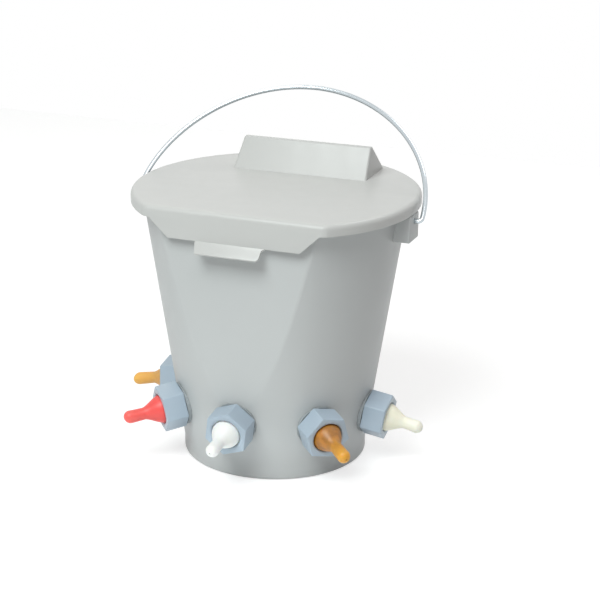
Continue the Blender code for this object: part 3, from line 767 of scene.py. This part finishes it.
def make_bail(surface):
    """The wire bail, with an upset head on each end inside its ear."""
    route = bail_route()
    curve = bpy.data.curves.new("bail_wire", "CURVE")
    curve.dimensions = "3D"
    spline = curve.splines.new("POLY")
    spline.points.add(len(route) - 1)
    for point, where in zip(spline.points, route):
        point.co = (*where, 1.0)
    curve.bevel_depth = WIRE / 2
    curve.bevel_resolution = WIRE_RESOLUTION
    curve.use_fill_caps = True
    wire = bpy.data.objects.new("bail_wire", curve)
    bpy.context.collection.objects.link(wire)
    select_only(wire)
    bpy.ops.object.convert(target="MESH")
    for side in (1, -1):
        head = turned("bail_head", BAIL_HEAD, WIRE_FACETS)
        at = Matrix.Translation((side * BAIL_PIN_END, 0, 0))
        place(head, at @ Matrix.Rotation(side * QUARTER, 4, "Y"))
        combine(wire, head, "UNION")
    lean = Matrix.Translation(BAIL_JOINT["pos_m"]) @ Matrix.Rotation(-BAIL_LEAN, 4, "X")
    place(wire, lean)
    shade(wire, WIRE_SMOOTH)
    finish_piece(wire, surface, "bail", "zinc_wire", "bail")


def copy_piece(pattern, name):
    """A copy of a piece with its own mesh."""
    select_only(pattern)
    bpy.ops.object.duplicate()
    made = bpy.context.object
    made.name = name
    made.data.name = name
    return made


def nut_pattern():
    """Hexagon union nut with soft edges and a rounded mouth."""
    deselect_all()
    middle = (0, 0, (NUT_BACK + NUT_FACE) / 2)
    radius = NUT_ACROSS_FLATS / math.sqrt(3)
    depth = NUT_FACE - NUT_BACK
    bpy.ops.mesh.primitive_cylinder_add(vertices=6, radius=radius, depth=depth, location=middle)
    nut = name_new("nut_pattern")
    with editing(nut):
        bpy.ops.mesh.select_all(action="SELECT")
        bpy.ops.mesh.bevel(offset=NUT_EDGE, segments=EDGE_SEGMENTS)
    lip = NUT_FACE - NUT_LIP
    profile = [(BORE_RADIUS, NUT_BACK - CUT), (BORE_RADIUS, lip), (NUT_MOUTH, lip)]
    flare = 2 * NUT_EDGE
    centre = (NUT_MOUTH + flare, NUT_FACE - flare)
    profile += arc(centre, flare, math.pi, QUARTER, ROUND_STEPS)
    profile.append((NUT_MOUTH + flare, NUT_FACE + CUT))
    combine(nut, turned("nut_bore", profile, STATION_FACETS), "DIFFERENCE")
    return nut


def make_nuts(surface):
    """The nut, modelled once and copied to each station at its own turn."""
    pattern = nut_pattern()
    for index, joint in enumerate(STATION_JOINTS):
        number = index + 1
        nut = copy_piece(pattern, f"hex_nut_{number}")
        # Primitive corners start on +Y, the part's on +X, which is a quarter turn
        roll = math.pi - math.radians(NUT_ROLLS[index]) - QUARTER
        place(nut, station_frame(joint) @ Matrix.Rotation(roll, 4, "Z"))
        shade(nut)
        finish_piece(nut, surface, f"nut_{number}", "nut_plastic", f"union_nut_{number}")
    bpy.data.objects.remove(pattern, do_unlink=True)


def teat_profile():
    """Closed profile of the teat: hollow, with a flange, a bulb, a nipple and a hole."""
    end = NUT_FACE + TEAT_LENGTH
    neck = NUT_FACE + TEAT_BULB_LENGTH
    outer = [(THREAD_RADIUS, TEAT_FLANGE_BACK), (THREAD_RADIUS, TEAT_FLANGE_TOP)]
    outer += [(TEAT_BULB, TEAT_FLANGE_TOP), (TEAT_BULB, NUT_FACE)]
    for i in range(1, BULB_STEPS + 1):
        share = i / BULB_STEPS
        ease = 0.5 - 0.5 * math.cos(math.pi * share)
        blend = share + TEAT_ROUNDNESS * (ease - share)
        radius = TEAT_BULB + (TEAT_NECK - TEAT_BULB) * blend
        outer.append((radius, NUT_FACE + TEAT_BULB_LENGTH * share))
    centre = end - TEAT_TIP
    outer.append(((TEAT_NECK + TEAT_TIP) / 2, (neck + centre) / 2))
    outer += arc((0, centre), TEAT_TIP, 0.0, math.acos(TEAT_HOLE / TEAT_TIP), TIP_STEPS)
    bulb_bore = TEAT_BULB - TEAT_WALL
    neck_bore = TEAT_NECK - TEAT_WALL
    inner = [(TEAT_HOLE, end - TEAT_WALL), (neck_bore, end - TEAT_TIP_WALL), (neck_bore, neck)]
    inner += [(bulb_bore, NUT_FACE), (bulb_bore, TEAT_FLANGE_BACK)]
    return outer + inner


def teat_pattern():
    """Rubber teat, with an attribute that runs from its bulb to its tip."""
    teat = turned("teat_pattern", teat_profile(), TEAT_FACETS, closed=True)
    along = teat.data.attributes.new("along", "FLOAT", "POINT")
    for vertex, value in zip(teat.data.vertices, along.data):
        value.value = max(0.0, (vertex.co.z - NUT_FACE) / TEAT_LENGTH)
    return teat


def make_teats(rubbers):
    """The teat, modelled once, copied to each station and drawn to its own length and bend."""
    pattern = teat_pattern()
    neck = NUT_FACE + TEAT_BULB_LENGTH + CUT
    for index, joint in enumerate(STATION_JOINTS):
        number = index + 1
        length = TEAT_LENGTHS[index]
        rubber, slot = TEAT_FINISHES[index]
        teat = copy_piece(pattern, f"rubber_teat_{number}")
        with editing(teat):
            pick("VERT", lambda v: v.co.z > neck)
            bpy.ops.transform.translate(value=(0, 0, length - TEAT_LENGTH))
            pick("VERT", lambda v: v.co.z > NUT_FACE + length - CUT)
            bpy.ops.transform.translate(
                value=(*TEAT_DROOPS[index], 0),
                use_proportional_edit=True,
                proportional_edit_falloff="SHARP",
                proportional_size=length - CUT,
            )
        place(teat, station_frame(joint))
        shade(teat, TEAT_SMOOTH)
        finish_piece(teat, rubbers[rubber], f"teat_{number}", slot, f"teat_{number}")
    bpy.data.objects.remove(pattern, do_unlink=True)


def new_group(name, inputs, outputs):
    """An empty shader node group with named sockets."""
    group = bpy.data.node_groups.new(name, "ShaderNodeTree")
    for label, kind, value in inputs:
        socket = group.interface.new_socket(name=label, in_out="INPUT", socket_type=kind)
        socket.default_value = value
    for label, kind in outputs:
        group.interface.new_socket(name=label, in_out="OUTPUT", socket_type=kind)
    return group, group.nodes.new("NodeGroupInput"), group.nodes.new("NodeGroupOutput")


def feed(tree, socket, value):
    """Gives a socket a number or a colour, or links another socket to it."""
    if isinstance(value, (int, float, tuple)):
        socket.default_value = value
    else:
        tree.links.new(value, socket)


def add_noise(tree, scale, detail, roughness=0.55):
    """Noise on Object coordinates; scale is a number or a socket."""
    coordinates = tree.nodes.new("ShaderNodeTexCoord")
    noise = tree.nodes.new("ShaderNodeTexNoise")
    noise.inputs["Detail"].default_value = detail
    noise.inputs["Roughness"].default_value = roughness
    tree.links.new(coordinates.outputs["Object"], noise.inputs["Vector"])
    feed(tree, noise.inputs["Scale"], scale)
    return noise.outputs["Fac"]


def add_range(tree, value, given, wanted):
    """Maps a value from one range to another; the ends are numbers or sockets."""
    mapped = tree.nodes.new("ShaderNodeMapRange")
    for label, end in zip(("From Min", "From Max", "To Min", "To Max"), (*given, *wanted)):
        feed(tree, mapped.inputs[label], end)
    tree.links.new(value, mapped.inputs["Value"])
    return mapped.outputs["Result"]


def add_mix(tree, factor, first, second):
    """Mixes two colours by a factor socket."""
    mix = tree.nodes.new("ShaderNodeMix")
    mix.data_type = "RGBA"
    tree.links.new(factor, mix.inputs["Factor"])
    feed(tree, mix.inputs["A"], first)
    feed(tree, mix.inputs["B"], second)
    return mix.outputs["Result"]


def skin_group():
    """Moulded skin: slow mottling, faint scuffs and a fine grain."""
    colour = "NodeSocketColor"
    number = "NodeSocketFloat"
    inputs = [
        ("Color", colour, WHITE),
        ("Mottle", number, 0.04),
        ("Mottle Scale", number, 9.0),
        ("Scuff", number, 0.3),
        ("Grain Scale", number, 900.0),
        ("Rough Low", number, 0.4),
        ("Rough High", number, 0.55),
    ]
    outputs = [("Color", colour), ("Roughness", number), ("Height", number)]
    group, given, made = new_group("moulded_skin", inputs, outputs)
    take = given.outputs
    slow = add_noise(group, take["Mottle Scale"], detail=5.0)
    shift = add_range(group, slow, MOTTLE_SPAN, (0.0, take["Mottle"]))
    darker = add_mix(group, shift, take["Color"], SKIN_SHADE)
    streak = add_noise(group, SCUFF_SCALE, detail=8.0, roughness=0.7)
    scuffed = add_range(group, streak, SCUFF_SPAN, (0.0, take["Scuff"]))
    paler = add_mix(group, scuffed, darker, SKIN_SCUFF)
    grain = add_noise(group, take["Grain Scale"], detail=2.0)
    rough = add_range(group, streak, GLOSS_SPAN, (take["Rough Low"], take["Rough High"]))
    group.links.new(paler, made.inputs["Color"])
    group.links.new(rough, made.inputs["Roughness"])
    group.links.new(grain, made.inputs["Height"])
    return group


def new_material(name):
    """A node material, its tree and its Principled shader."""
    made = bpy.data.materials.new(name)
    made.use_nodes = True
    tree = made.node_tree
    return made, tree, tree.nodes["Principled BSDF"]


def add_bump(tree, shader, height, strength, distance):
    """Bump from a height socket into the shader's normal."""
    bump = tree.nodes.new("ShaderNodeBump")
    bump.inputs["Strength"].default_value = strength
    bump.inputs["Distance"].default_value = distance
    tree.links.new(height, bump.inputs["Height"])
    tree.links.new(bump.outputs["Normal"], shader.inputs["Normal"])


def add_skin(tree, shader, skin, values, strength, distance):
    """Puts the moulded skin on a shader with its own values; gives back its colour socket."""
    node = tree.nodes.new("ShaderNodeGroup")
    node.node_tree = skin
    for label, value in values.items():
        node.inputs[label].default_value = value
    tree.links.new(node.outputs["Color"], shader.inputs["Base Color"])
    tree.links.new(node.outputs["Roughness"], shader.inputs["Roughness"])
    add_bump(tree, shader, node.outputs["Height"], strength, distance)
    return node.inputs["Color"]


def moulded(name, skin, colour, values, bump):
    """A moulded plastic or rubber with its own colour and skin values."""
    made, tree, shader = new_material(name)
    tint = add_skin(tree, shader, skin, values, bump, SKIN_DEPTH)
    tint.default_value = (*colour, 1.0)
    return made


def teat_rubber(name, skin, colour, tip, glow, mottle):
    """Rubber that lets light in, its colour and its patches changing from bulb to tip."""
    made, tree, shader = new_material(name)
    attribute = tree.nodes.new("ShaderNodeAttribute")
    attribute.attribute_name = "along"
    share = add_range(tree, attribute.outputs["Fac"], TIP_SPAN, FULL)
    blended = add_mix(tree, share, (*colour, 1.0), (*tip, 1.0))
    fading = add_range(tree, share, PATCH_FADE, (mottle, PATCH_AT_TIP * mottle))
    patches = add_range(tree, add_noise(tree, PATCH_SCALE, detail=3.0), PATCH_SPAN, (0.0, fading))
    deeper = tuple(PATCH_SHADE * part for part in colour)
    clouded = add_mix(tree, patches, blended, (*deeper, 1.0))
    tint = add_skin(tree, shader, skin, RUBBER_SKIN, RUBBER_BUMP, RUBBER_DEPTH)
    tree.links.new(clouded, tint)
    shader.inputs["Subsurface Weight"].default_value = glow
    shader.inputs["Subsurface Radius"].default_value = RUBBER_GLOW_RADIUS
    shader.inputs["Subsurface Scale"].default_value = 1.0
    return made


def zinc():
    """Bright plated wire with faint drawing marks and dull spots."""
    made, tree, shader = new_material("plated_wire")
    spots = add_noise(tree, ZINC_SPOTS, detail=6.0, roughness=0.7)
    dull = add_range(tree, spots, DULL_SPAN, (0.0, ZINC_DULL_MOST))
    colour = add_mix(tree, dull, ZINC_BRIGHT, ZINC_DULL)
    rough = add_range(tree, spots, ZINC_GLOSS_SPAN, ZINC_ROUGHNESS)
    tree.links.new(colour, shader.inputs["Base Color"])
    tree.links.new(rough, shader.inputs["Roughness"])
    shader.inputs["Metallic"].default_value = 1.0
    add_bump(tree, shader, add_noise(tree, ZINC_GRAIN, detail=2.0), ZINC_BUMP, ZINC_DEPTH)
    return made


def dress_kept_nodes(valve, seal, ball):
    """Materials on the nodes whose shape is right as it is."""
    looks = {
        "valve_body": valve,
        "ball_cage": valve,
        "valve_ball": ball,
        # The seals get the painted-shade colour, so their rims round the nuts read as contact
        # shadow
        "wall_seal": seal,
        "inner_gasket": seal,
    }
    for name, node in frame["nodes"].items():
        surface = looks.get(name.rsplit("_", 1)[0])
        if surface is not None:
            node.data.materials.clear()
            node.data.materials.append(surface)


def make_camera():
    """The camera at the photograph's viewing angle."""
    azimuth, elevation = CAMERA_AZIMUTH, CAMERA_ELEVATION
    level = math.cos(elevation)
    back = Vector((math.sin(azimuth) * level, -math.cos(azimuth) * level, math.sin(elevation)))
    right = Vector((math.cos(azimuth), math.sin(azimuth), 0))
    up = back.cross(right)
    where = right * CAMERA_ASIDE + up * CAMERA_RISE + back * CAMERA_DISTANCE
    cos, sin = math.cos(CAMERA_ROLL), math.sin(CAMERA_ROLL)
    rolled_right = cos * right + sin * up
    rolled_up = cos * up - sin * right
    data = bpy.data.cameras.new("photo_view")
    data.lens = CAMERA_LENS
    data.sensor_width = SENSOR_WIDTH
    camera = bpy.data.objects.new("photo_view", data)
    bpy.context.collection.objects.link(camera)
    turn = Matrix((rolled_right, rolled_up, back)).transposed().to_4x4()
    camera.matrix_world = Matrix.Translation(where) @ turn
    bpy.context.scene.camera = camera


def add_lamp(name, place_at, target, size, power, colour):
    """A square soft lamp that faces a target and isn't seen itself."""
    data = bpy.data.lights.new(name, "AREA")
    data.size = size
    data.energy = power
    data.color = colour
    lamp = bpy.data.objects.new(name, data)
    bpy.context.collection.objects.link(lamp)
    lamp.location = place_at
    lamp.visible_camera = False
    aim = Vector(target) - Vector(place_at)
    lamp.rotation_euler = aim.to_track_quat("-Z", "Y").to_euler()


def seen_directly(tree):
    """A socket that is 1 for rays from the camera, in mirrors and through glass."""
    path = tree.nodes.new("ShaderNodeLightPath")
    first = tree.nodes.new("ShaderNodeMath")
    first.operation = "MAXIMUM"
    second = tree.nodes.new("ShaderNodeMath")
    second.operation = "MAXIMUM"
    tree.links.new(path.outputs["Is Camera Ray"], first.inputs[0])
    tree.links.new(path.outputs["Is Glossy Ray"], first.inputs[1])
    tree.links.new(first.outputs[0], second.inputs[0])
    tree.links.new(path.outputs["Is Transmission Ray"], second.inputs[1])
    return second.outputs[0]


def make_studio():
    """White surroundings, a pale floor that keeps the shadow, and soft lamps."""
    world = bpy.data.worlds.new("studio")
    world.use_nodes = True
    bpy.context.scene.world = world
    tree = world.node_tree
    background = tree.nodes["Background"]
    background.inputs["Color"].default_value = WHITE
    strength = add_range(tree, seen_directly(tree), FULL, (WORLD_LIGHT, 1.0))
    tree.links.new(strength, background.inputs["Strength"])
    deselect_all()
    bpy.ops.mesh.primitive_plane_add(size=FLOOR_SIZE, location=(0, 0, -FLOOR_DROP))
    floor = name_new("studio_floor")
    surface, tree, shader = new_material("studio_floor")
    shader.inputs["Base Color"].default_value = FLOOR_COLOUR
    shader.inputs["Roughness"].default_value = FLOOR_ROUGHNESS
    glow = tree.nodes.new("ShaderNodeEmission")
    glow.inputs["Strength"].default_value = FLOOR_STRENGTH
    blend = tree.nodes.new("ShaderNodeMixShader")
    factor = add_range(tree, seen_directly(tree), FULL, (0.0, FLOOR_GLOW))
    tree.links.new(factor, blend.inputs["Fac"])
    tree.links.new(shader.outputs["BSDF"], blend.inputs[1])
    tree.links.new(glow.outputs["Emission"], blend.inputs[2])
    output = tree.nodes["Material Output"]
    tree.links.new(blend.outputs["Shader"], output.inputs["Surface"])
    floor.data.materials.append(surface)
    for lamp in LAMPS:
        add_lamp(*lamp)
    bpy.context.scene.view_settings.view_transform = "Standard"


def main():
    """Dresses the frame and sets the studio."""
    skin = skin_group()
    plastics = {name: moulded(name, skin, *look) for name, look in PLASTICS.items()}
    rubbers = {name: teat_rubber(name, skin, *look) for name, look in RUBBERS.items()}
    make_bucket(plastics["bucket_plastic"])
    make_lid(plastics["lid_plastic"])
    make_bail(zinc())
    make_nuts(plastics["nut_plastic"])
    make_teats(rubbers)
    dress_kept_nodes(plastics["valve_plastic"], plastics["seal_rubber"], plastics["ball_plastic"])
    make_camera()
    make_studio()


main()
